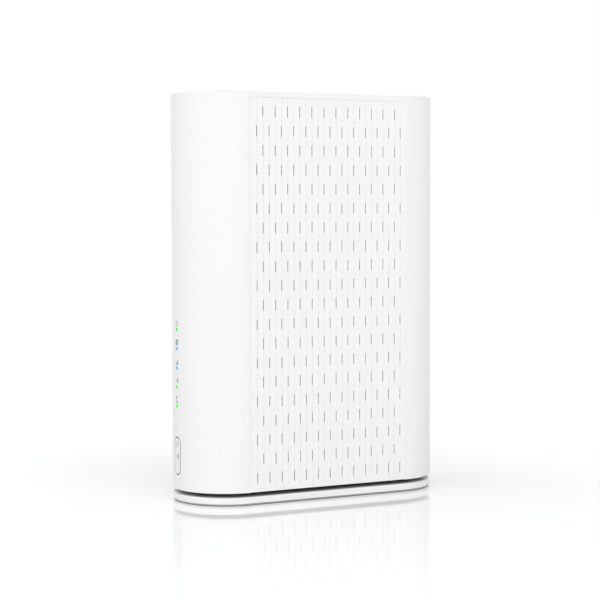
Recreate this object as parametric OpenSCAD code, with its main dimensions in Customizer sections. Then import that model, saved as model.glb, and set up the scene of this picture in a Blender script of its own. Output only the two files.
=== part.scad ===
// Upright cable gateway: a stadium-shaped tower with louvred sides on a low stand.
// The front, with its lights and button, faces -Y. The flat sides face +X and -X.
// The ports are in a bay at the rear, +Y. Z = 0 is the surface that it stands on.

/* [Case] */
// Width across the two flat sides
case_w = 56; // [54:1:60]
// Height of the case, without the stand
case_h = 202.4; // [200:0.4:204]
// Thickness of the outer walls
wall = 2.2; // [2:0.1:2.6]
// Radius of the case's outer edges
edge_r = 0.6; // [0.4:0.1:1]
// Width of the seam between the front cover and the side grilles
seam = 0.04; // [0.02:0.02:0.2]

/* [Side grilles] */
// Distance between louvres, along the flat side
louvre_pitch = 3.5; // [3.5:0.05:3.6]
// Number of louvres on each side
louvres = 26; // [26:1:26]
// Depth of the step between one louvre and the next
louvre_depth = 0.4; // [0.3:0.05:0.8]
// Distance that the louvres sit towards the rear, off the middle of the flat side
louvre_shift = 0.5; // [0:0.1:0.6]
// Height of the plain band above the louvres
band_h = 3; // [2.5:0.1:3.5]
// Length of a slot
slot_l = 5.55; // [5:0.05:6]
// Width of a slot
slot_w = 0.6; // [0.5:0.05:1]
// Number of rows of slots
slot_rows = 20; // [16:1:20]
// Distance between rows of slots
row_pitch = 9.75; // [9:0.05:9.8]
// Height of the lowest row's centre above the case's bottom edge
first_row = 7.1; // [6.5:0.1:7.5]

/* [Stand] */
// Height of the case's bottom edge above the table
case_lift = 6.4; // [6.2:0.1:7]
// Thickness of the base plate
base_t = 3.3; // [3:0.1:3.5]
// Height of the rubber feet that shows below the base plate
foot_h = 0.95; // [0.8:0.05:1.2]
// Inset of the base plate's edge from the case's side
base_inset = 0.25; // [0.2:0.05:0.5]
// Inset of the neck from the case's side
neck_inset = 9.5; // [9:0.1:10]

/* [Lights and front button] */
// Number of indicator lights
led_count = 5; // [5:1:5]
// Height of the top light above the table
led_top = 88.6; // [88:0.2:90]
// Distance between lights
led_pitch = 9.8; // [9:0.1:10]
// Width of a light's window
led_w = 2; // [1.6:0.1:2.4]
// Height of a light's window
led_h = 1.65; // [1.4:0.05:2]
// Height of the front button's centre above the table
button_z = 23.8; // [23.5:0.1:25]
// Length of the front button
button_l = 18.5; // [17:0.1:19]
// Width of the front button
button_w = 5.9; // [5.5:0.1:6.2]
// Gap round the front button
button_gap = 0.7; // [0.5:0.05:0.8]

/* [Rear bay] */
// Width of the bay
bay_w = 30; // [30:0.5:32]
// Depth of the bay below the rear end of the case
bay_depth = 10; // [9.5:0.1:10.5]
// Height of the bay's lower edge above the table
bay_z0 = 19; // [18:0.5:20]
// Height of the bay's upper edge above the table
bay_z1 = 198; // [197:0.5:198]
// Thread radius of the coaxial connector
coax_r = 4.76; // [4.76:0.01:4.76]
// Distance that the coaxial connector stands out of the bay's floor
coax_out = 9.3; // [8:0.1:9.3]
// Distance between network ports
port_pitch = 15.2; // [14.8:0.1:15.2]
// Distance between telephone ports
phone_pitch = 13.7; // [13:0.1:13.7]

/* [Hidden] */
$fn = 48;

case_white = [0.95, 0.95, 0.95];
black = [0.06, 0.06, 0.07];
dark_grey = [0.2, 0.2, 0.21];
metal = [0.75, 0.76, 0.78];
gold = [0.85, 0.68, 0.3];
board_green = [0.08, 0.33, 0.18];
steel = [0.55, 0.56, 0.58];

// The case's outline is a stadium: two straight sides and two half circles.
round_r = case_w / 2;
half_flat = louvre_pitch * louvres / 2;
inner_r = round_r - wall;
front_y = -half_flat - round_r;
rear_y = half_flat + round_r;
case_z0 = case_lift;
case_z1 = case_lift + case_h;
grille_z0 = case_z0 + 0.15;
eps = 0.01;

// The stand
base_z0 = foot_h;
base_z1 = foot_h + base_t;
base_r = round_r - base_inset;
base_edge_r = 0.5;
lip_inset = 0.9;
lip_t = 1.6;
lip_gap = 0.25;
neck_r = round_r - neck_inset;
neck_t = 2;
floor_z = case_z0 + 0.7;
floor_t = 2.2;
inside_z0 = floor_z + floor_t;
foot_r = 6.3;
foot_recess = 0.5;
foot_at = [17, half_flat + 2.5];
base_screw_y = 40;
screw_r = 1.5;
head_r = 2.8;
head_t = 1.6;

// The top cap sits inside the rim, a little below it.
cap_drop = 0.7;
cap_t = 3;
cap_skirt = 5;
cap_skirt_t = 1.4;
inside_z1 = case_z1 - cap_drop - cap_t;
vent_l = 34;
vent_w = 1.7;
vents = 12;

// The main board stands on edge, along the case, with its parts towards +X.
board_t = 1.6;
board_face = -6.7;
board_back = board_face - board_t;
board_y0 = -46;
board_y1 = 58;
board_z0 = 12.5;
board_z1 = 199;
board_step_y = 30;
board_step_z = 188;
board_hole_r = 1.6;
board_holes = [for (y = [board_y0 + 6, board_y1 - 24], z = [board_z0 + 3.5, board_step_z - 5]) [y, z]];

chassis_t = 2;
chassis_x0 = board_back - 3.2 - chassis_t;
chassis_rail = 9;
chassis_y0 = -54;
chassis_y1 = 54;
chassis_z1 = board_step_z - 1;
flange_l = 12;
flange_w = 27;
bracket_t = 2;
bracket_z1 = 100;
flange_hole_x = 6;

// The bay's floor, and what stands in it
bay_t = 1.8;
bay_floor = rear_y - bay_depth;
bay_back = bay_floor - 2;
fit_gap = 0.2;
block_proud = 0.5;
block_x1 = -board_face;
ether_ports = 4;
ether_z = 133.75;
ether_h = 61.5;
ether_y0 = 42.5;
ether_hole = [8.3, 11.8];
ether_hole_x = -1.05;
ether_depth = 15;
phone_ports = 2;
phone_z = 181.7;
phone_h = 27.4;
phone_y0 = 46;
phone_hole = [6.9, 9.8];
phone_hole_x = -1.4;
phone_depth = 12.5;
usb_z = 91;
usb_size = [5.8, 13.2];
usb_t = 0.35;
usb_x = board_face + 0.3 + usb_size[0] / 2;
usb_back_t = 1.5;
jack_y0 = 50;
reset_z = 80.2;
reset_x = -3.4;
reset_r = 0.75;
reset_hole_r = 1.15;
coax_z = 62;
coax_hex = 11;
coax_flange_t = 2.4;
coax_nut_t = 2.2;
coax_neck_r = 4.6;
coax_body = 13;
coax_bore_r = 3.4;
coax_pin_r = 0.6;
coax_flange_y = bay_back - coax_flange_t - 0.1;
power_z = 44;
power_x = -1.2;
power_cap = 7.2;
power_gap = 0.4;
power_out = 2.5;
power_switch_y = [bay_back - 15.5, bay_back - 4.5];
power_switch_w = 9;
power_bore_l = 4.4;
power_flange_y = bay_back - 2;
power_flange_t = 1.2;
power_shaft_r = 1.7;
power_shaft_l = 4.9;
reset_switch_y = [bay_back - 10.5, bay_back - 5.1];
reset_switch_w = 6;
reset_bore_l = 2;
reset_gap = 0.4;
reset_shaft_y = bay_back - 6.5;
reset_collar_y = bay_back - 3.5;
reset_collar_t = 1;
reset_collar_r = 1.8;
dc_z = 28.5;
dc_size = [11, 9];
dc_bore_r = 2.85;
dc_depth = 9.5;
dc_pin_r = 1.05;
dc_x = board_face + dc_size[0] / 2;

// The board behind the lights and the front button
led_board_t = 1.6;
led_board_y = front_y + 7.1;
led_board_w = 14;
led_board_z0 = 13;
led_board_z1 = 98;
led_t = 0.8;
guide_y1 = led_board_y - led_t - 0.3;
guide_t = 2;
wps_flange_y = front_y + 3.1;
wps_flange_t = 1;
wps_stem_y = wps_flange_y + wps_flange_t + 0.8;
wps_actuator_l = 1.1;
wps_switch_y = led_board_y - 1.3;

heatsink_y = [-42, 22];
heatsink_z = [79, 170];
heatsink_x0 = board_face + 2.5;
heatsink_base = 3;
heatsink_fin = 15;
fins = 12;
fin_t = 1.3;
soc = 23;
soc_y = -8;
soc_z = 124;

// Smaller parts on the main board: where they are along Y and Z, and their height
tuner_at = [[6, 44], [50, 76]];
tuner_h = 5;
wifi_at = [[-40, -4], [34, 72]];
wifi_h = 4;
shield_lid = 0.4;
shield_lip = 0.3;
memory_y = [-22, -4];
memory_size = [1.1, 12, 9];
memory_z = 178;
magnetics_y = [26, 39];
magnetics_h = 6;
magnetics_l = 20;
magnetics_pitch = 28;
capacitor_y = [36, 25, 14];
capacitor_z = 27;
capacitor_r = 4;
capacitor_h = 12;
inductor_y = [36, 26, 16];
inductor_z = 40.5;
inductor_w = 7;
inductor_h = 4.5;

// The flat cable from the light board to the main board
flex_t = 0.3;
flex_h = 8;
flex_z = 62;
flex_steps = 16;
flex_start = [0, led_board_y + led_board_t + 2];
flex_end = [board_face + 1.2, board_y0 + 2];
flex_mid_z = flex_z + flex_h / 2;

// The antennas and their leads
antenna_t = 0.8;
antenna_w = 10;
antenna_l = 44;
antenna_front_at = [chassis_x0 + chassis_t, -62, 140];
antenna_top_at = [8, -40, inside_z1 - cap_skirt - antenna_w - 1];
cable_r = 0.7;
cable_sides = 8;
cable_rings = 24;
wifi_jack_x = board_face + wifi_h + cable_r + 0.1;

function louvre_y(i) = i * louvre_pitch - half_flat + louvre_shift;
function led_z(i) = led_top - i * led_pitch;
function about(mid, size) = [mid - size / 2, mid + size / 2];
function slot_columns(row) = [for (c = [row % 2 : 2 : louvres - 2]) c];

// ---- shared shapes ----

module obround(w, l) {
    square([w, l - w], center = true);
    for (s = [-1, 1])
        translate([0, s * (l - w) / 2]) circle(d = w);
}

module stadium(r) {
    square([2 * r, 2 * half_flat], center = true);
    for (s = [-1, 1])
        translate([0, s * half_flat]) circle(r);
}

// A disc-edged slab in section: its outer corners are rounded.
module rounded_section(r0, r1, z0, z1, edge) {
    translate([r0, z0]) square([r1 - edge - r0, z1 - z0]);
    translate([r0, z0 + edge]) square([r1 - r0, z1 - z0 - 2 * edge]);
    for (z = [z0 + edge, z1 - edge])
        translate([r1 - edge, z]) circle(edge);
}

// Turns a section through the half circle at the front (-1) or rear (1) end.
module end_turn(side)
    translate([0, side * half_flat, 0])
        rotate([0, 0, side > 0 ? 0 : 180])
            rotate_extrude(angle = 180) children();

// Extrudes a shape drawn in the X-Z plane from y0 to y1.
module along_y(y0, y1)
    translate([0, y1, 0]) rotate([90, 0, 0]) linear_extrude(y1 - y0) children();

// Extrudes a shape drawn in the Y-Z plane from x0 to x1.
module along_x(x0, x1)
    translate([x0, 0, 0]) rotate([90, 0, 90]) linear_extrude(x1 - x0) children();

module block(x, y, z)
    translate([x[0], y[0], z[0]]) cube([x[1] - x[0], y[1] - y[0], z[1] - z[0]]);

// A pan-head screw with a cross recess: the head's face is at z = 0 and the shank points to +Z.
module screw(l) {
    difference() {
        cylinder(r = head_r, h = head_t);
        for (a = [0, 90])
            rotate([0, 0, a]) translate([-head_r * 0.6, -0.35, -eps]) cube([head_r * 1.2, 0.7, 0.9]);
    }
    translate([0, 0, head_t]) cylinder(r = screw_r, h = l);
}

// ---- case ----

module front_cover() color(case_white)
    difference() {
        end_turn(-1) rounded_section(inner_r, round_r, case_z0, case_z1, edge_r);
        for (i = [0 : led_count - 1])
            translate([0, front_y + wall / 2, led_z(i)]) cube([led_w, 3 * wall, led_h], center = true);
        along_y(front_y - wall, front_y + 2 * wall)
            translate([0, button_z]) obround(button_w + 2 * button_gap, button_l + 2 * button_gap);
    }

// Each louvre rises towards the rear and drops in a step, where the slots are.
module louvre_outline() {
    y0 = -half_flat + seam;
    polygon(concat(
        [[inner_r, half_flat], [inner_r, y0], [round_r - louvre_depth, y0]],
        [for (i = [1 : louvres - 1]) each [
            [round_r, louvre_y(i)],
            [round_r - louvre_depth, louvre_y(i)]
        ]],
        [[round_r, half_flat]]
    ));
}

// Alternate rows are offset by one louvre, counted from the bottom.
module slot_pattern()
    for (row = [0 : slot_rows - 1], c = slot_columns(row))
        translate([louvre_y(c + 1), case_z0 + first_row + row * row_pitch])
            obround(slot_w, slot_l);

module side_grille()
    intersection() {
        union() {
            translate([0, 0, grille_z0]) linear_extrude(case_z1 - band_h - grille_z0) louvre_outline();
            block([inner_r, round_r], [-half_flat + seam, half_flat], [case_z1 - band_h, case_z1]);
        }
        along_y(-half_flat, half_flat) rounded_section(inner_r, round_r, grille_z0, case_z1, edge_r);
        along_x(inner_r - 1, round_r + 1) difference() {
            translate([-half_flat - 1, 0]) square([2 * half_flat + 2, case_z1 + 1]);
            slot_pattern();
        }
    }

module side_grille_right() color(case_white) side_grille();

module side_grille_left() color(case_white) mirror([1, 0, 0]) side_grille();

// The openings in the bay's floor, drawn in the X-Z plane
module bay_openings() {
    translate([0, ether_z]) square([2 * block_x1, ether_h] + 2 * fit_gap * [1, 1], center = true);
    translate([0, phone_z]) square([2 * block_x1, phone_h] + 2 * fit_gap * [1, 1], center = true);
    translate([usb_x, usb_z]) square(usb_size + 2 * fit_gap * [1, 1], center = true);
    translate([reset_x, reset_z]) circle(reset_hole_r);
    translate([0, coax_z]) circle(coax_r + fit_gap);
    translate([power_x, power_z]) square(power_cap + 2 * power_gap, center = true);
    translate([dc_x, dc_z]) square(dc_size + 2 * fit_gap * [1, 1], center = true);
}

module rear_cover() color(case_white)
    difference() {
        union() {
            end_turn(1) rounded_section(inner_r, round_r, case_z0, case_z1, edge_r);
            intersection() {
                block([-bay_w / 2 - bay_t, bay_w / 2 + bay_t], [bay_back, rear_y], [bay_z0 - bay_t, bay_z1 + bay_t]);
                translate([0, half_flat, 0]) cylinder(r = round_r - wall / 2, h = case_z1);
            }
        }
        block([-bay_w / 2, bay_w / 2], [bay_floor, rear_y + 1], [bay_z0, bay_z1]);
        along_y(bay_back - 1, bay_floor + 1) bay_openings();
    }

module top_cap() color(case_white) {
    z1 = case_z1 - cap_drop;
    translate([0, 0, inside_z1]) linear_extrude(cap_t) difference() {
        stadium(inner_r);
        for (i = [0 : vents - 1])
            translate([0, (i - (vents - 1) / 2) * 2 * louvre_pitch]) rotate(90) obround(vent_w, vent_l);
    }
    translate([0, 0, inside_z1 - cap_skirt]) linear_extrude(cap_skirt) difference() {
        stadium(inner_r - 0.3);
        stadium(inner_r - 0.3 - cap_skirt_t);
    }
}

module bottom_cover() color(black)
    difference() {
        union() {
            translate([0, 0, floor_z]) linear_extrude(floor_t) difference() {
                stadium(inner_r);
                for (s = [-1, 1], i = [-5 : 5])
                    translate([s * (neck_r + inner_r) / 2, i * 2 * louvre_pitch]) obround(3, 5.5);
            }
            translate([0, 0, base_z1]) linear_extrude(floor_z - base_z1) difference() {
                stadium(neck_r);
                stadium(neck_r - neck_t);
            }
            for (s = [-1, 1])
                translate([0, s * base_screw_y, base_z1]) cylinder(r = 4.5, h = floor_z - base_z1);
        }
        for (s = [-1, 1])
            translate([0, s * base_screw_y, base_z1 - eps]) cylinder(r = screw_r, h = 5);
        for (s = [-1, 1], x = [-1, 1])
            translate([x * flange_hole_x, s * (chassis_y1 - flange_l / 2), floor_z - eps]) {
                cylinder(r = screw_r + 0.2, h = floor_t + 1);
            }
    }

module bottom_screws() color(steel)
    for (s = [-1, 1], x = [-1, 1])
        translate([x * flange_hole_x, s * (chassis_y1 - flange_l / 2), floor_z - head_t])
            screw(floor_t + chassis_t);

module base_plate() color(case_white)
    difference() {
        union() {
            for (s = [-1, 1])
                end_turn(s) rounded_section(0, base_r, base_z0, base_z1, base_edge_r);
            for (s = [0, 1])
                mirror([s, 0, 0])
                    along_y(-half_flat, half_flat) rounded_section(0, base_r, base_z0, base_z1, base_edge_r);
            translate([0, 0, lip_gap]) linear_extrude(base_z0 + 1 - lip_gap) difference() {
                stadium(base_r - lip_inset);
                stadium(base_r - lip_inset - lip_t);
            }
        }
        for (x = [-1, 1], y = [-1, 1])
            translate([x * foot_at[0], y * foot_at[1], base_z0 - eps]) cylinder(r = foot_r, h = foot_recess + eps);
        for (s = [-1, 1])
            translate([0, s * base_screw_y, base_z0 - eps]) {
                cylinder(r = head_r + 0.3, h = head_t + 0.4 + eps);
                cylinder(r = screw_r + 0.2, h = base_t + 1);
            }
    }

module base_feet() color(dark_grey)
    for (x = [-1, 1], y = [-1, 1])
        translate([x * foot_at[0], y * foot_at[1], 0]) cylinder(r = foot_r - 0.1, h = foot_h + foot_recess);

module base_screws() color(steel)
    for (s = [-1, 1])
        translate([0, s * base_screw_y, base_z0 + 0.4]) screw(4.6);

// ---- inside the case ----

// A post on the chassis's top rail that reaches over the board to the top antenna
module antenna_arm() {
    block([chassis_x0, chassis_x0 + chassis_t], [-22, -14], [chassis_z1 - 1, antenna_top_at[2] + 5]);
    block([chassis_x0, antenna_top_at[0]], [-22, -14], about(antenna_top_at[2] + 4, 2));
}

module chassis() color([0.82, 0.82, 0.8])
    difference() {
        union() {
            along_x(chassis_x0, chassis_x0 + chassis_t) difference() {
                translate([chassis_y0, inside_z0])
                    square([chassis_y1 - chassis_y0, chassis_z1 - inside_z0]);
                translate([chassis_y0 + chassis_rail, inside_z0 + chassis_rail])
                    square([chassis_y1 - chassis_y0 - 2 * chassis_rail,
                            chassis_z1 - inside_z0 - 2 * chassis_rail]);
            }
            antenna_arm();
            for (p = board_holes)
                translate([chassis_x0, p[0], p[1]]) rotate([0, 90, 0]) cylinder(r = 3.2, h = board_back - chassis_x0);
            for (y = [chassis_y0, chassis_y1 - flange_l])
                block([chassis_x0, chassis_x0 + flange_w], [y, y + flange_l], [inside_z0, inside_z0 + chassis_t]);
            block([chassis_x0, chassis_x0 + flange_w - 4], [chassis_y0 - bracket_t, chassis_y0], [inside_z0, bracket_z1]);
            for (z = [led_board_z0 + 3, led_board_z1 - 9])
                block([-4.5, 4.5], [led_board_y + led_board_t, chassis_y0 - bracket_t], [z, z + 6]);
        }
        block([-5, 2], [chassis_y0 - bracket_t - 1, chassis_y0 + 1], [flex_z - 2, flex_z + flex_h + 2]);
        for (p = board_holes)
            translate([board_back - 3, p[0], p[1]]) rotate([0, 90, 0]) cylinder(r = 1.1, h = 4);
        for (s = [-1, 1], x = [-1, 1])
            translate([x * flange_hole_x, s * (chassis_y1 - flange_l / 2), inside_z0 - eps])
                cylinder(r = screw_r, h = chassis_t + 1);
    }

module main_board() color(board_green)
    along_x(board_back, board_face) difference() {
        translate([board_y0, board_z0]) square([board_y1 - board_y0, board_z1 - board_z0]);
        translate([board_y0 - 1, board_step_z]) square([board_step_y - board_y0 + 1, board_z1]);
        for (p = board_holes)
            translate(p) circle(board_hole_r);
    }

module board_screws() color(steel)
    for (p = board_holes)
        translate([board_face + head_t, p[0], p[1]]) rotate([0, -90, 0]) {
            cylinder(r = head_r, h = head_t);
            cylinder(r = 1.1, h = head_t + board_t + 2.5);
        }

module soc_chip() color(black)
    block([board_face, board_face + 2], about(soc_y, soc), about(soc_z, soc));

module thermal_pad() color([0.6, 0.65, 0.75])
    block([board_face + 2, heatsink_x0], about(soc_y, soc), about(soc_z, soc));

module heatsink() color(metal) {
    block([heatsink_x0, heatsink_x0 + heatsink_base], heatsink_y, heatsink_z);
    step = (heatsink_y[1] - heatsink_y[0] - fin_t) / (fins - 1);
    for (i = [0 : fins - 1])
        block([heatsink_x0 + heatsink_base, heatsink_x0 + heatsink_base + heatsink_fin],
              about(heatsink_y[0] + fin_t / 2 + i * step, fin_t), heatsink_z);
}

module heatsink_pins() color(steel)
    for (y = heatsink_y + [3.3, -3.3], z = heatsink_z + [5, -5])
        translate([board_face, y, z]) rotate([0, 90, 0]) cylinder(r = 1.8, h = heatsink_x0 - board_face);

module memory_chips() color(black)
    for (y = memory_y)
        translate([board_face, y, memory_z]) cube(memory_size);

// A can over a stretch of the board, with a lid that stands out by a small lip
module shield_can(at, h) {
    lip = shield_lip * [1, -1];
    block([board_face, board_face + h - shield_lid], at[0] + lip, at[1] + lip);
    block([board_face + h - shield_lid, board_face + h], at[0], at[1]);
}

module tuner_shield() color(metal) shield_can(tuner_at, tuner_h);

module wifi_shield() color(metal) shield_can(wifi_at, wifi_h);

module ethernet_magnetics() color(black)
    for (s = [-1, 1])
        block([board_face, board_face + magnetics_h], magnetics_y,
              about(ether_z + s * magnetics_pitch / 2, magnetics_l));

module capacitors() color([0.25, 0.27, 0.35])
    for (y = capacitor_y)
        translate([board_face, y, capacitor_z]) rotate([0, 90, 0]) cylinder(r = capacitor_r, h = capacitor_h);

module inductors() color(dark_grey)
    for (y = inductor_y)
        block([board_face, board_face + inductor_h], about(y, inductor_w), about(inductor_z, inductor_w));

// A modular-jack cavity with its stepped latch notch, drawn in the X-Z plane
module jack_hole(size, notch) {
    square(size, center = true);
    translate([size[0] / 2, 0]) square([2 * 1.5, notch], center = true);
    translate([size[0] / 2 + 1.5, 0]) square([2 * 0.7, notch / 2], center = true);
}

module jack_block(z, h, y0, ports, pitch, hole, hole_x, depth, notch)
    difference() {
        block([board_face, block_x1], [y0, bay_floor + block_proud], about(z, h));
        for (i = [0 : ports - 1])
            along_y(bay_floor + block_proud - depth, bay_floor + block_proud + 1)
                translate([hole_x, z + (i - (ports - 1) / 2) * pitch]) jack_hole(hole, notch);
    }

module jack_contacts(z, ports, pitch, hole, hole_x, depth, wires)
    for (i = [0 : ports - 1], j = [0 : wires - 1])
        translate([hole_x - hole[0] / 2 + 0.3,
                   bay_floor + block_proud - depth,
                   z + (i - (ports - 1) / 2) * pitch + (j - (wires - 1) / 2) * 1.02 - 0.2])
            cube([0.4, depth - 5, 0.4]);

module ethernet_block() color(dark_grey)
    jack_block(ether_z, ether_h, ether_y0, ether_ports, port_pitch, ether_hole, ether_hole_x, ether_depth, 6.2);

module ethernet_contacts() color(gold)
    jack_contacts(ether_z, ether_ports, port_pitch, ether_hole, ether_hole_x, ether_depth, 8);

module phone_block() color(dark_grey)
    jack_block(phone_z, phone_h, phone_y0, phone_ports, phone_pitch, phone_hole, phone_hole_x, phone_depth, 4);

module phone_contacts() color(gold)
    jack_contacts(phone_z, phone_ports, phone_pitch, phone_hole, phone_hole_x, phone_depth, 4);

module usb_shell() color(metal)
    difference() {
        along_y(jack_y0, bay_floor + block_proud) translate([usb_x, usb_z]) square(usb_size, center = true);
        along_y(jack_y0 + usb_back_t, bay_floor + block_proud + 1)
            translate([usb_x, usb_z]) square(usb_size - 2 * usb_t * [1, 1], center = true);
    }

module usb_tongue() color(black)
    block([usb_x - 2.1, usb_x - 0.3], [jack_y0 + usb_back_t, bay_floor - 0.6], about(usb_z, 11));

module coax_connector() color(metal)
    difference() {
        union() {
            block([board_face, -board_face], [jack_y0, coax_flange_y], about(coax_z, coax_body));
            along_y(coax_flange_y, coax_flange_y + coax_flange_t)
                translate([0, coax_z]) circle(r = coax_hex / 2 / cos(30), $fn = 6);
            along_y(coax_flange_y + coax_flange_t, bay_floor + coax_nut_t) translate([0, coax_z]) circle(coax_neck_r);
            along_y(bay_floor + coax_nut_t, bay_floor + coax_out) translate([0, coax_z]) circle(coax_r);
        }
        along_y(bay_floor, bay_floor + coax_out + 1) translate([0, coax_z]) circle(coax_bore_r);
    }

module coax_dielectric() color([0.93, 0.93, 0.9])
    along_y(bay_floor, bay_floor + coax_out - 0.6) translate([0, coax_z]) difference() {
        circle(coax_bore_r);
        circle(coax_pin_r);
    }

module coax_nut() color(metal)
    along_y(bay_floor, bay_floor + coax_nut_t) translate([0, coax_z]) difference() {
        circle(r = coax_hex / 2 / cos(30), $fn = 6);
        circle(coax_neck_r);
    }

module dc_jack() color(black)
    difference() {
        along_y(jack_y0, bay_floor + block_proud) translate([dc_x, dc_z]) square(dc_size, center = true);
        along_y(bay_floor + block_proud - dc_depth, bay_floor + 1) translate([dc_x, dc_z]) circle(dc_bore_r);
    }

module dc_pin() color(metal)
    translate([dc_x, bay_floor + block_proud - dc_depth, dc_z]) rotate([-90, 0, 0]) cylinder(r = dc_pin_r, h = dc_depth - 1);

module power_switch() color(black)
    difference() {
        block([board_face, power_x + power_switch_w / 2], power_switch_y, about(power_z, power_switch_w));
        along_y(power_switch_y[1] - power_bore_l, power_switch_y[1] + 1)
            translate([power_x, power_z]) circle(power_shaft_r + power_gap);
    }

module power_button() color(dark_grey) {
    along_y(power_flange_y + power_flange_t, bay_floor + power_out)
        translate([power_x, power_z]) square(power_cap, center = true);
    along_y(power_flange_y, power_flange_y + power_flange_t)
        translate([power_x, power_z]) square(power_cap + 2.2, center = true);
    along_y(power_flange_y - power_shaft_l, power_flange_y)
        translate([power_x, power_z]) circle(power_shaft_r);
}

module reset_switch() color(black)
    difference() {
        block([board_face, reset_x + reset_switch_w / 2], reset_switch_y, about(reset_z, reset_switch_w));
        along_y(reset_switch_y[1] - reset_bore_l, reset_switch_y[1] + 1)
            translate([reset_x, reset_z]) circle(reset_r + reset_gap);
    }

module reset_button() color([0.7, 0.1, 0.1]) {
    along_y(reset_shaft_y, reset_collar_y) translate([reset_x, reset_z]) circle(reset_r);
    along_y(reset_collar_y, reset_collar_y + reset_collar_t)
        translate([reset_x, reset_z]) circle(reset_collar_r);
    along_y(reset_collar_y + reset_collar_t, bay_floor - 0.6) translate([reset_x, reset_z]) circle(reset_r);
}

// ---- lights and front button ----

module led_board() color(board_green)
    block([-led_board_w, led_board_w] / 2, [led_board_y, led_board_y + led_board_t], [led_board_z0, led_board_z1]);

module led_at(i)
    block([-0.8, 0.8], [led_board_y - led_t, led_board_y], about(led_z(i), 1.2));

module green_leds() color([0.1, 0.9, 0.2])
    for (i = [0, 3, 4])
        led_at(i);

module blue_leds() color([0.15, 0.7, 1])
    for (i = [1, 2])
        led_at(i);

module light_guide() color([0.9, 0.95, 1]) {
    for (i = [0 : led_count - 1])
        block([-led_w / 2 + 0.1, led_w / 2 - 0.1], [front_y + 0.1, guide_y1 - guide_t + eps],
              about(led_z(i), led_h - 0.2));
    block([-2.2, 2.2], [guide_y1 - guide_t, guide_y1], [led_z(led_count - 1) - 3, led_z(0) + 3]);
    for (z = [led_z(led_count - 1) - 2, led_z(0) + 2])
        block([-1, 1], [guide_y1, led_board_y], about(z, 2));
}

module wps_switch() color(metal)
    difference() {
        block([-3, 3], [wps_switch_y, led_board_y], about(button_z, 6));
        along_y(wps_switch_y - 1, led_board_y - 0.2) translate([0, button_z]) circle(1.4);
    }

module wps_actuator() color(black)
    translate([0, wps_stem_y, button_z]) rotate([-90, 0, 0]) cylinder(r = 1, h = wps_actuator_l);

module wps_button() color(case_white) {
    intersection() {
        along_y(front_y - 1, wps_flange_y + eps) translate([0, button_z]) obround(button_w, button_l);
        translate([0, -half_flat, 0]) cylinder(r = round_r, h = 2 * button_z);
    }
    along_y(wps_flange_y, wps_flange_y + wps_flange_t)
        translate([0, button_z]) obround(button_w + 2.4, button_l + 2.4);
    along_y(wps_flange_y + wps_flange_t, wps_stem_y) translate([0, button_z]) circle(1.5);
}

function flex_point(t) = [
    flex_start[0] + (flex_end[0] - flex_start[0]) * (1 - cos(180 * t)) / 2,
    flex_start[1] + (flex_end[1] - flex_start[1]) * t
];

// A flat cable that runs in an S from the light board to the main board
module led_flex_cable() color([0.85, 0.85, 0.8])
    translate([0, 0, flex_z]) linear_extrude(flex_h) polygon(concat(
        [for (i = [0 : flex_steps]) flex_point(i / flex_steps) + [flex_t / 2, 0]],
        [for (i = [flex_steps : -1 : 0]) flex_point(i / flex_steps) - [flex_t / 2, 0]]
    ));

module flex_sockets() color(black) {
    block([-1.5, 1.5], [led_board_y + led_board_t, flex_start[1]], about(flex_mid_z, flex_h + 2));
    block([board_face, flex_end[0] + 1], [flex_end[1], flex_end[1] + 4], about(flex_mid_z, flex_h + 2));
}

module antenna_front() color(board_green)
    translate(antenna_front_at) cube([antenna_t, antenna_w, antenna_l]);

module antenna_top() color(board_green)
    translate(antenna_top_at) cube([antenna_t, antenna_l, antenna_w]);

function bezier(p, t) =
    p[0] * pow(1 - t, 3) + 3 * p[1] * t * pow(1 - t, 2) + 3 * p[2] * pow(t, 2) * (1 - t) + p[3] * pow(t, 3);
function unit(v) = v / norm(v);

// A round lead along one cubic curve
module lead(p) {
    ring_points = [for (i = [0 : cable_rings])
        let(t = i / cable_rings,
            at = bezier(p, t),
            way = unit(bezier(p, min(t + 0.01, 1)) - bezier(p, max(t - 0.01, 0))),
            u = unit(cross(way, [0.31, 0.94, 0.12])),
            v = cross(way, u))
        for (j = [0 : cable_sides - 1])
            at + cable_r * (u * cos(360 * j / cable_sides) + v * sin(360 * j / cable_sides))];
    last = cable_rings * cable_sides;
    side_faces = [for (i = [0 : cable_rings - 1], j = [0 : cable_sides - 1])
        let(a = i * cable_sides, k = (j + 1) % cable_sides)
        each [[a + j, a + cable_sides + j, a + cable_sides + k], [a + j, a + cable_sides + k, a + k]]];
    polyhedron(
        points = ring_points,
        faces = concat(
            side_faces,
            [[for (j = [0 : cable_sides - 1]) j]],
            [[for (j = [cable_sides - 1 : -1 : 0]) last + j]]
        )
    );
}

module antenna_cables() color(black) {
    lead([
        antenna_front_at + [antenna_t + cable_r, 5, 2],
        antenna_front_at + [antenna_t + cable_r, 5, -32],
        [wifi_jack_x, -50, 92],
        [wifi_jack_x, -38, 66]
    ]);
    lead([
        antenna_top_at + [antenna_t + cable_r, 4, 5],
        antenna_top_at + [antenna_t + cable_r, -12, -9],
        [wifi_jack_x + 10, -56, 70],
        [wifi_jack_x, -37, 58]
    ]);
}

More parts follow.
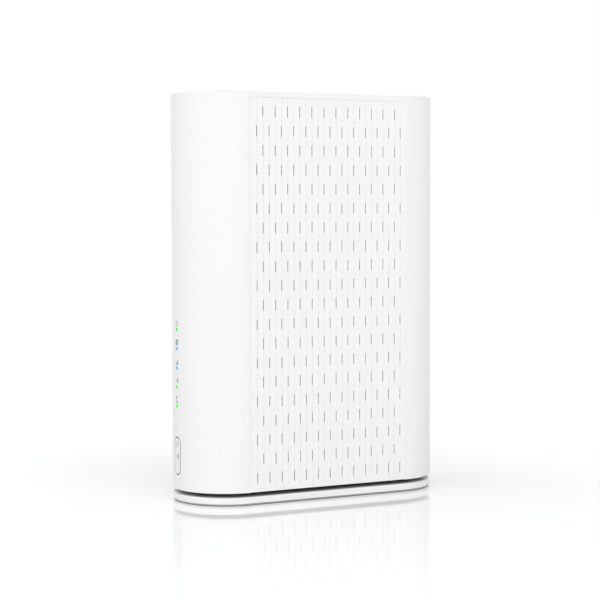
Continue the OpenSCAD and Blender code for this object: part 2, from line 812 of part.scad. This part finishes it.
front_cover();
side_grille_right();
side_grille_left();
rear_cover();
top_cap();
bottom_cover();
bottom_screws();
base_plate();
base_feet();
base_screws();
chassis();
main_board();
board_screws();
soc_chip();
thermal_pad();
heatsink();
heatsink_pins();
memory_chips();
tuner_shield();
wifi_shield();
ethernet_magnetics();
capacitors();
inductors();
ethernet_block();
ethernet_contacts();
phone_block();
phone_contacts();
usb_shell();
usb_tongue();
coax_connector();
coax_dielectric();
coax_nut();
dc_jack();
dc_pin();
power_switch();
power_button();
reset_switch();
reset_button();
led_board();
green_leds();
blue_leds();
light_guide();
led_flex_cable();
flex_sockets();
wps_switch();
wps_actuator();
wps_button();
antenna_front();
antenna_top();
antenna_cables();
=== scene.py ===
import math

import bmesh
import bpy
from mathutils import Matrix, Vector


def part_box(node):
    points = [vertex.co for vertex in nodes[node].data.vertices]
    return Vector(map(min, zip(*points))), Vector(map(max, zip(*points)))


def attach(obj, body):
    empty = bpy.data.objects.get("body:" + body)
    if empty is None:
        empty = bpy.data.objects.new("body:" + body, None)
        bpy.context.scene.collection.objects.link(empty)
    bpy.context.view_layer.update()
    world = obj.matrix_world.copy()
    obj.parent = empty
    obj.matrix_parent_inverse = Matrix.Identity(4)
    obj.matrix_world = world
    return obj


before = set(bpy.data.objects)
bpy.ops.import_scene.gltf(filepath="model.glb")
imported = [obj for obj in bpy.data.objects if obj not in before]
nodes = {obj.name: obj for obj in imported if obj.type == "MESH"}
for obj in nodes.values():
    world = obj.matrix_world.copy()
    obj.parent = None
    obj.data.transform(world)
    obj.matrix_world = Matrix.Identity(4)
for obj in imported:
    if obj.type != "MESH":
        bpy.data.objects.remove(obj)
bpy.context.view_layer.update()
MM = 0.001

# Heights of the five light windows, top to bottom, and which of them glow blue, in mm
LIGHT_Z = (88.6, 78.8, 69.0, 59.2, 49.4)
BLUE_LIGHTS = (1, 2)
# The case's round front: its axis along Y, and its radius
FRONT_AXIS_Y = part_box("front_cover")[1].y
FRONT_RADIUS = FRONT_AXIS_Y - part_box("front_cover")[0].y


# ---- camera, floor and light ----

def make_camera():
    data = bpy.data.cameras.new("camera")
    data.lens = 106.7
    data.sensor_width = 36
    data.clip_start, data.clip_end = 0.05, 20
    cam = bpy.data.objects.new("camera", data)
    bpy.context.scene.collection.objects.link(cam)
    cam.location = (0.828, -0.442, 0.1532)
    turn = (Matrix.Rotation(math.radians(62.03), 3, "Z")
            @ Matrix.Rotation(math.radians(90 - 3.144), 3, "X")
            @ Matrix.Rotation(math.radians(-0.11), 3, "Z"))
    cam.rotation_mode = "QUATERNION"
    cam.rotation_quaternion = turn.to_quaternion()
    bpy.context.scene.camera = cam


def make_sun(name, azimuth, elevation, strength, width):
    """A wide, soft light; azimuth 0 is in front of the object and 90 is on its right."""
    data = bpy.data.lights.new(name, "SUN")
    data.energy = strength
    data.angle = math.radians(width)
    sun = bpy.data.objects.new(name, data)
    bpy.context.scene.collection.objects.link(sun)
    a, e = math.radians(azimuth), math.radians(elevation)
    back = Vector((math.sin(a) * math.cos(e), -math.cos(a) * math.cos(e), math.sin(e)))
    sun.rotation_mode = "QUATERNION"
    sun.rotation_quaternion = (-back).to_track_quat("-Z", "Y")


class Shader:
    """One node material, built round a Principled BSDF."""

    def __init__(self, name, **sockets):
        self.mat = bpy.data.materials.new(name)
        self.mat.use_nodes = True
        self.tree = self.mat.node_tree
        self.tree.nodes.clear()
        self.out = self.node("ShaderNodeOutputMaterial")
        self.bsdf = self.node("ShaderNodeBsdfPrincipled")
        self.link(self.bsdf, "BSDF", self.out, "Surface")
        for key, value in sockets.items():
            self.bsdf.inputs[key.replace("_", " ")].default_value = value
        self.coords = self.node("ShaderNodeTexCoord")

    def node(self, kind, props=None, **sockets):
        n = self.tree.nodes.new(kind)
        for key, value in (props or {}).items():
            setattr(n, key, value)
        for key, value in sockets.items():
            n.inputs[key.replace("_", " ")].default_value = value
        return n

    def link(self, a, out, b, into):
        self.tree.links.new(a.outputs[out], b.inputs[into])

    def noise(self, scale, detail=2.0, rough=0.5, stretch=None):
        n = self.node("ShaderNodeTexNoise", Scale=scale, Detail=detail, Roughness=rough)
        source, out = self.coords, "Object"
        if stretch:
            source = self.node("ShaderNodeMapping", Scale=stretch)
            self.link(self.coords, "Object", source, "Vector")
            out = "Vector"
        self.link(source, out, n, "Vector")
        return n

    def ramp(self, source, out, low, high, to_low=0.0, to_high=1.0):
        n = self.node(
            "ShaderNodeMapRange",
            From_Min=low, From_Max=high, To_Min=to_low, To_Max=to_high,
        )
        self.link(source, out, n, "Value")
        return n

    def mix(self, fac, fac_out, a, b):
        """Mix of two colours or (node, output) pairs by a node's output."""
        n = self.node("ShaderNodeMix", {"data_type": "RGBA"})
        self.link(fac, fac_out, n, "Factor")
        for key, value in (("A", a), ("B", b)):
            socket = [s for s in n.inputs if s.name == key and s.type == "RGBA"][0]
            if isinstance(value[0], bpy.types.Node):
                self.tree.links.new(mix_output(*value), socket)
            else:
                socket.default_value = (*value, 1.0)
        return n

    def edges(self, radius, low=0.02, high=0.25):
        """A mask that is 1 on edges, and the rounded normal."""
        bevel = self.node("ShaderNodeBevel", {"samples": 4}, Radius=radius)
        geometry = self.node("ShaderNodeNewGeometry")
        dot = self.node("ShaderNodeVectorMath", {"operation": "DOT_PRODUCT"})
        self.link(bevel, "Normal", dot, 0)
        self.link(geometry, "Normal", dot, 1)
        mask = self.ramp(dot, "Value", 1.0 - low, 1.0 - high)
        return mask, bevel

    def cover(self, mask, mask_out, colour):
        """Lays a colour over the base colour where the mask is 1."""
        plain = self.bsdf.inputs["Base Color"].links[0].from_node
        base = self.mix(mask, mask_out, (plain, "Result"), colour)
        self.tree.links.new(mix_output(base, "Result"), self.bsdf.inputs["Base Color"])

    def bump(self, height, out, strength, distance, under=None):
        n = self.node("ShaderNodeBump", Strength=strength, Distance=distance)
        self.link(height, out, n, "Height")
        if under:
            self.link(under, "Normal", n, "Normal")
        return n


def mix_output(n, out):
    if n.bl_idname == "ShaderNodeMix":
        return [s for s in n.outputs if s.type == "RGBA"][0]
    return n.outputs[out]


def scaled(colour, k):
    return tuple(min(1.0, c * k) for c in colour)


def finish(name, colour, rough, grain=2600.0, depth=0.03, vary=0.02, wear=1.05,
           edge=0.2, stretch=None, rough_vary=0.05, specks=0.0, **sockets):
    """A material with fine grain, slow colour variation, worn edges and, if asked, specks."""
    s = Shader(name, **sockets)
    broad = s.noise(35.0, 3.0)
    base = s.mix(broad, "Fac", scaled(colour, 1 - vary), scaled(colour, 1 + vary))
    if specks:
        cells = s.node("ShaderNodeTexVoronoi", Scale=420.0)
        s.link(s.coords, "Object", cells, "Vector")
        spot = s.ramp(cells, "Distance", 0.16, 0.06)
        chosen = s.node("ShaderNodeSeparateColor")
        s.link(cells, "Color", chosen, "Color")
        some = s.ramp(chosen, "Red", 0.5, 0.9)
        both = s.node("ShaderNodeMath", {"operation": "MULTIPLY"})
        s.link(spot, "Result", both, 0)
        s.link(some, "Result", both, 1)
        base = s.mix(both, "Value", (base, "Result"), scaled(colour, 1 - specks))
    mask, bevel = s.edges(edge * MM)
    base = s.mix(mask, "Result", (base, "Result"), scaled(colour, wear))
    s.tree.links.new(mix_output(base, "Result"), s.bsdf.inputs["Base Color"])
    fine = s.noise(grain, 3.0, 0.6, stretch)
    roughness = s.ramp(fine, "Fac", 0.3, 0.7, rough - rough_vary, rough + rough_vary)
    s.link(roughness, "Result", s.bsdf, "Roughness")
    bump = s.bump(fine, "Fac", 0.6, depth * MM, bevel)
    s.link(bump, "Normal", s.bsdf, "Normal")
    return s


def make_floor():
    """A pale glossy table top, a little brighter away from the object: painted light, a glow that
    grows with distance from it.
    """
    mesh = bpy.data.meshes.new("floor")
    mesh.from_pydata([(-8, -8, 0), (8, -8, 0), (8, 8, 0), (-8, 8, 0)], [], [(0, 1, 2, 3)])
    floor = bpy.data.objects.new("floor", mesh)
    bpy.context.scene.collection.objects.link(floor)
    s = Shader("floor_gloss", Roughness=0.06, IOR=1.45)
    cloud = s.noise(3.0)
    tint = s.mix(cloud, "Fac", (0.955, 0.965, 0.975), (0.965, 0.975, 0.985))
    s.tree.links.new(mix_output(tint, "Result"), s.bsdf.inputs["Base Color"])
    away = s.node("ShaderNodeVectorMath", {"operation": "LENGTH"})
    s.link(s.coords, "Object", away, 0)
    # painted light: emission rising from 0 to 0.12 between 0.08 m and 0.3 m from the object
    painted_light_pool = s.ramp(away, "Value", 0.08, 0.3, 0.0, 0.12)
    s.bsdf.inputs["Emission Color"].default_value = (1, 1, 1, 1)
    s.link(painted_light_pool, "Result", s.bsdf, "Emission Strength")
    mesh.materials.append(s.mat)


def make_world():
    """White surroundings, dimmer as a source of diffuse light than as seen."""
    world = bpy.data.worlds.new("studio")
    bpy.context.scene.world = world
    world.use_nodes = True
    tree = world.node_tree
    back = tree.nodes["Background"]
    back.inputs["Color"].default_value = (1, 1, 1, 1)
    path = tree.nodes.new("ShaderNodeLightPath")
    level = tree.nodes.new("ShaderNodeMapRange")
    level.inputs["To Min"].default_value = 1.0
    level.inputs["To Max"].default_value = 0.57
    tree.links.new(path.outputs["Is Diffuse Ray"], level.inputs["Value"])
    tree.links.new(level.outputs["Result"], back.inputs["Strength"])


bpy.context.scene.view_settings.view_transform = "Standard"
make_camera()
make_world()
make_sun("front_light", 15, 46, 0.98, 90)
make_sun("side_light", 85, 34, 0.93, 60)
make_floor()


# ---- materials of the CAD nodes ----

WHITE = (0.835, 0.833, 0.832)
GREEN = (0.01, 1.0, 0.01)
BLUE = (0.045, 0.58, 1.0)


def base_material():
    """White plastic; the recessed lip below it is painted grey as shade under the base's
    overhang.
    """
    s = finish("plastic_base", WHITE, 0.4, specks=0.17, vary=0.006, wear=1.03)
    height = s.node("ShaderNodeSeparateXYZ")
    s.link(s.coords, "Object", height, "Vector")
    # painted shade: below about 0.9 mm the lip is coloured grey to stand for the shadow under the
    # overhang
    lip = s.ramp(height, "Z", 0.98 * MM, 0.9 * MM)
    s.cover(lip, "Result", (0.42, 0.425, 0.435))
    return s.mat


def button_material():
    """White plastic; the button's sides, down in the gap round the button, are painted grey as
    shade.
    """
    s = finish("plastic_button", WHITE, 0.38, specks=0.14, vary=0.006, wear=1.03)
    flat = s.node("ShaderNodeVectorMath", {"operation": "MULTIPLY_ADD"})
    s.link(s.coords, "Object", flat, 0)
    flat.inputs[1].default_value = (1, 1, 0)
    flat.inputs[2].default_value = (0, -FRONT_AXIS_Y, 0)
    reach = s.node("ShaderNodeVectorMath", {"operation": "LENGTH"})
    s.link(flat, "Vector", reach, 0)
    # painted shade: grey laid on the button's sides in the gap, standing for the shadow there
    side = s.ramp(reach, "Value", FRONT_RADIUS - 0.15 * MM, FRONT_RADIUS - 0.3 * MM)
    s.cover(side, "Result", (0.3, 0.302, 0.306))
    return s.mat


MATERIALS = {
    "case_white": finish("plastic_case", WHITE, 0.42, specks=0.17, vary=0.006, wear=1.03).mat,
    "base_white": base_material(),
    "button_white": button_material(),
    "black_plastic": finish("plastic_black", (0.012, 0.012, 0.013), 0.45, vary=0.2, wear=2.2).mat,
    "foot_rubber": finish("rubber", (0.05, 0.051, 0.053), 0.75, grain=1500,
                          depth=0.06, vary=0.15, wear=1.5).mat,
    "screw_steel": finish("steel", (0.5, 0.5, 0.51), 0.3, Metallic=1.0, vary=0.1, wear=1.4).mat,
    "chassis_plastic": finish("plastic_chassis", (0.6, 0.6, 0.58), 0.5).mat,
    "chip_black": finish("chip", (0.02, 0.02, 0.021), 0.55, vary=0.2, wear=1.8).mat,
    "thermal_pad": finish("pad", (0.35, 0.4, 0.5), 0.8, grain=1200, depth=0.05).mat,
    "heatsink_aluminium": finish("aluminium", (0.75, 0.76, 0.77), 0.35, Metallic=1.0,
                                 stretch=(1, 1, 0.05), depth=0.02).mat,
    "shield_metal": finish("tinplate", (0.66, 0.66, 0.65), 0.28, Metallic=1.0,
                           grain=600, depth=0.01).mat,
    "capacitor_sleeve": finish("sleeve", (0.03, 0.035, 0.07), 0.3, vary=0.1, wear=1.8).mat,
    "port_plastic": finish("plastic_port", (0.03, 0.031, 0.033), 0.42, vary=0.15, wear=2.0).mat,
    "gold_contact": finish("gold", (0.83, 0.6, 0.25), 0.2, Metallic=1.0, depth=0.005).mat,
    "nickel": finish("nickel", (0.5, 0.48, 0.45), 0.24, Metallic=1.0,
                     depth=0.008, vary=0.05, wear=1.2).mat,
    "white_insulator": finish("insulator", (0.8, 0.79, 0.75), 0.4).mat,
    "button_grey": finish("plastic_grey", (0.12, 0.122, 0.128), 0.4, vary=0.06, wear=1.5).mat,
    "reset_red": finish("plastic_red", (0.45, 0.02, 0.02), 0.4).mat,
    "flex_cable": finish("flex", (0.7, 0.68, 0.62), 0.35).mat,
    "cable_black": finish("cable", (0.015, 0.015, 0.016), 0.5).mat,
}


def led_material(name, colour):
    return finish(name, colour, 0.3, Emission_Strength=2.0, Emission_Color=(*colour, 1.0)).mat


def guide_material():
    """Clear acrylic whose front ends glow, green or blue by the height of the light behind."""
    s = finish("acrylic", (0.85, 0.88, 0.92), 0.12, depth=0.005, Specular_IOR_Level=0.2)
    parts = s.node("ShaderNodeSeparateXYZ")
    s.link(s.coords, "Object", parts, "Vector")
    low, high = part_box("blue_leds")
    above = s.node("ShaderNodeMath", {"operation": "GREATER_THAN"})
    below = s.node("ShaderNodeMath", {"operation": "LESS_THAN"})
    s.link(parts, "Z", above, 0)
    s.link(parts, "Z", below, 0)
    above.inputs[1].default_value = low.z - 2 * MM
    below.inputs[1].default_value = high.z + 2 * MM
    is_blue = s.node("ShaderNodeMath", {"operation": "MULTIPLY"})
    s.link(above, "Value", is_blue, 0)
    s.link(below, "Value", is_blue, 1)
    colour = s.mix(is_blue, "Value", GREEN, BLUE)
    s.tree.links.new(mix_output(colour, "Result"), s.bsdf.inputs["Emission Color"])
    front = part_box("light_guide")[0].y
    glow = s.ramp(parts, "Y", front + 2 * MM, front + 1 * MM)
    s.link(glow, "Result", s.bsdf, "Emission Strength")
    s.cover(glow, "Result", (0.0, 0.0, 0.0))
    return s.mat


MATERIALS["circuit_board"] = finish("board", (0.02, 0.13, 0.055), 0.32,
                                    vary=0.12, depth=0.01, Coat_Weight=0.3).mat
MATERIALS["led_green"] = led_material("led_green_lens", GREEN)
MATERIALS["led_blue"] = led_material("led_blue_lens", BLUE)
MATERIALS["clear_acrylic"] = guide_material()

for o in nodes.values():
    for i in range(len(o.material_slots)):
        o.material_slots[i].material = MATERIALS[o.material_slots[i].material.name]


# ---- pictograms: thin prints on the round front ----

def disc(cx, cy, r, n=24):
    turns = [2 * math.pi * i / n for i in range(n)]
    return [(cx + r * math.cos(a), cy + r * math.sin(a)) for a in turns]


def arc(cx, cy, r, a0, a1, w, n=20):
    """A ring sector of width w as quads, from angle a0 to a1 in degrees."""
    quads = []
    for i in range(n):
        p, q = (math.radians(a0 + (a1 - a0) * (i + k) / n) for k in (0, 1))
        quads.append([
            (cx + (r - w / 2) * math.cos(p), cy + (r - w / 2) * math.sin(p)),
            (cx + (r + w / 2) * math.cos(p), cy + (r + w / 2) * math.sin(p)),
            (cx + (r + w / 2) * math.cos(q), cy + (r + w / 2) * math.sin(q)),
            (cx + (r - w / 2) * math.cos(q), cy + (r - w / 2) * math.sin(q)),
        ])
    return quads


def bar(x0, y0, x1, y1, w):
    """A straight stroke as one quad."""
    along = Vector((x1 - x0, y1 - y0)).normalized()
    side = Vector((-along.y, along.x)) * (w / 2)
    return [[(x0 + side.x, y0 + side.y), (x0 - side.x, y0 - side.y),
             (x1 - side.x, y1 - side.y), (x1 + side.x, y1 + side.y)]]


def power_symbol():
    return arc(0, -0.1, 1.25, 120, 420, 0.36, 32) + bar(0, 0.15, 0, 1.55, 0.36)


def globe():
    polygons = arc(0, 0, 1.42, 0, 360, 0.3, 36)
    polygons += bar(-1.35, 0, 1.35, 0, 0.26) + bar(0, -1.35, 0, 1.35, 0.26)
    for s in (-1, 1):
        polygons += arc(s * 1.45, 0, 2.0, 90 + s * 90 - 44, 90 + s * 90 + 44, 0.24, 14)
        polygons += bar(-1.15, s * 0.72, 1.15, s * 0.72, 0.22)
    return polygons


def signal_steps():
    steps = [(-1.4 + 0.75 * i, -0.9 + 0.75 * i, -0.7 + 0.6 * i) for i in range(4)]
    return [[(x0, -1.3), (x1, -1.3), (x1, top), (x0, top)] for x0, x1, top in steps]


def wireless():
    polygons = [disc(-0.9, 0, 0.36)]
    for r in (1.0, 1.7, 2.4):
        polygons += arc(-0.9, 0, r, -42, 42, 0.34, 14)
    return polygons


def handset():
    polygons = arc(1.5, 0.25, 2.3, 140, 232, 0.55, 18)
    return polygons + [disc(-0.15, 1.35, 0.52), disc(0.2, -1.3, 0.52)]


def pair_arrows():
    polygons = []
    for s, start in ((1, 20), (-1, 200)):
        polygons += arc(0, 0, 1.2, start, start + 120, 0.34, 16)
        a = math.radians(start)
        x, y = 1.2 * math.cos(a), 1.2 * math.sin(a)
        base_y = y + s * 0.1
        polygons.append([(x - s * 0.55, base_y), (x + s * 0.55, base_y), (x, y - s * 0.75)])
    return polygons


def print_on_round(name, symbols, body, material):
    """Prints symbols on the round front, as thin closed shells that ride on the body."""
    radius = FRONT_RADIUS / MM
    proud, sunk, strip = 0.012, -0.05, 0.4
    bm = bmesh.new()
    for z, polygons in symbols:
        for points in polygons:
            face = bmesh.new()
            face.faces.new([face.verts.new((x, y, sunk)) for x, y in points])
            xs = [p[0] for p in points]
            k = math.ceil(min(xs) / strip)
            while k * strip < max(xs):
                bmesh.ops.bisect_plane(face, geom=face.verts[:] + face.edges[:] + face.faces[:],
                                       plane_co=(k * strip, 0, 0), plane_no=(1, 0, 0))
                k += 1
            up = bmesh.ops.extrude_face_region(face, geom=face.faces[:])
            for v in up["geom"]:
                if isinstance(v, bmesh.types.BMVert):
                    v.co.z = proud
            bmesh.ops.recalc_face_normals(face, faces=face.faces[:])
            made = {}
            for v in face.verts:
                a = v.co.x / radius
                r = radius + v.co.z
                made[v] = bm.verts.new((r * math.sin(a) * MM,
                                        FRONT_AXIS_Y - r * math.cos(a) * MM, (z + v.co.y) * MM))
            for f in face.faces:
                bm.faces.new([made[v] for v in f.verts])
            face.free()
    mesh = bpy.data.meshes.new(name)
    bm.to_mesh(mesh)
    bm.free()
    mesh.materials.append(material)
    piece = bpy.data.objects.new(name, mesh)
    bpy.context.scene.collection.objects.link(piece)
    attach(piece, body)


ink = finish("ink", (0.2, 0.2, 0.203), 0.5, depth=0.005, vary=0.06, edge=0.02).mat
print_on_round("front_symbols", [
    (91.9, power_symbol()), (82.1, globe()), (71.9, signal_steps()),
    (62.4, wireless()), (52.7, handset()),
], "case", ink)


def lens():
    return [[(-1.05, -0.9), (1.05, -0.9), (1.05, 0.9), (-1.05, 0.9)]]


def lens_material(name, colour):
    """Tinted translucent cover over a light window, lit from behind."""
    return finish(name, scaled(colour, 0.08), 0.5, depth=0.004, Specular_IOR_Level=0.0,
                  Emission_Strength=0.95, Emission_Color=(*colour, 1.0)).mat


green = [(z, lens()) for i, z in enumerate(LIGHT_Z) if i not in BLUE_LIGHTS]
blue = [(z, lens()) for i, z in enumerate(LIGHT_Z) if i in BLUE_LIGHTS]
print_on_round("green_lenses", green, "case", lens_material("lens_green", GREEN))
print_on_round("blue_lenses", blue, "case", lens_material("lens_blue", BLUE))
print_on_round("button_symbols", [(29.8, pair_arrows()), (23.6, wireless())], "front_button", ink)
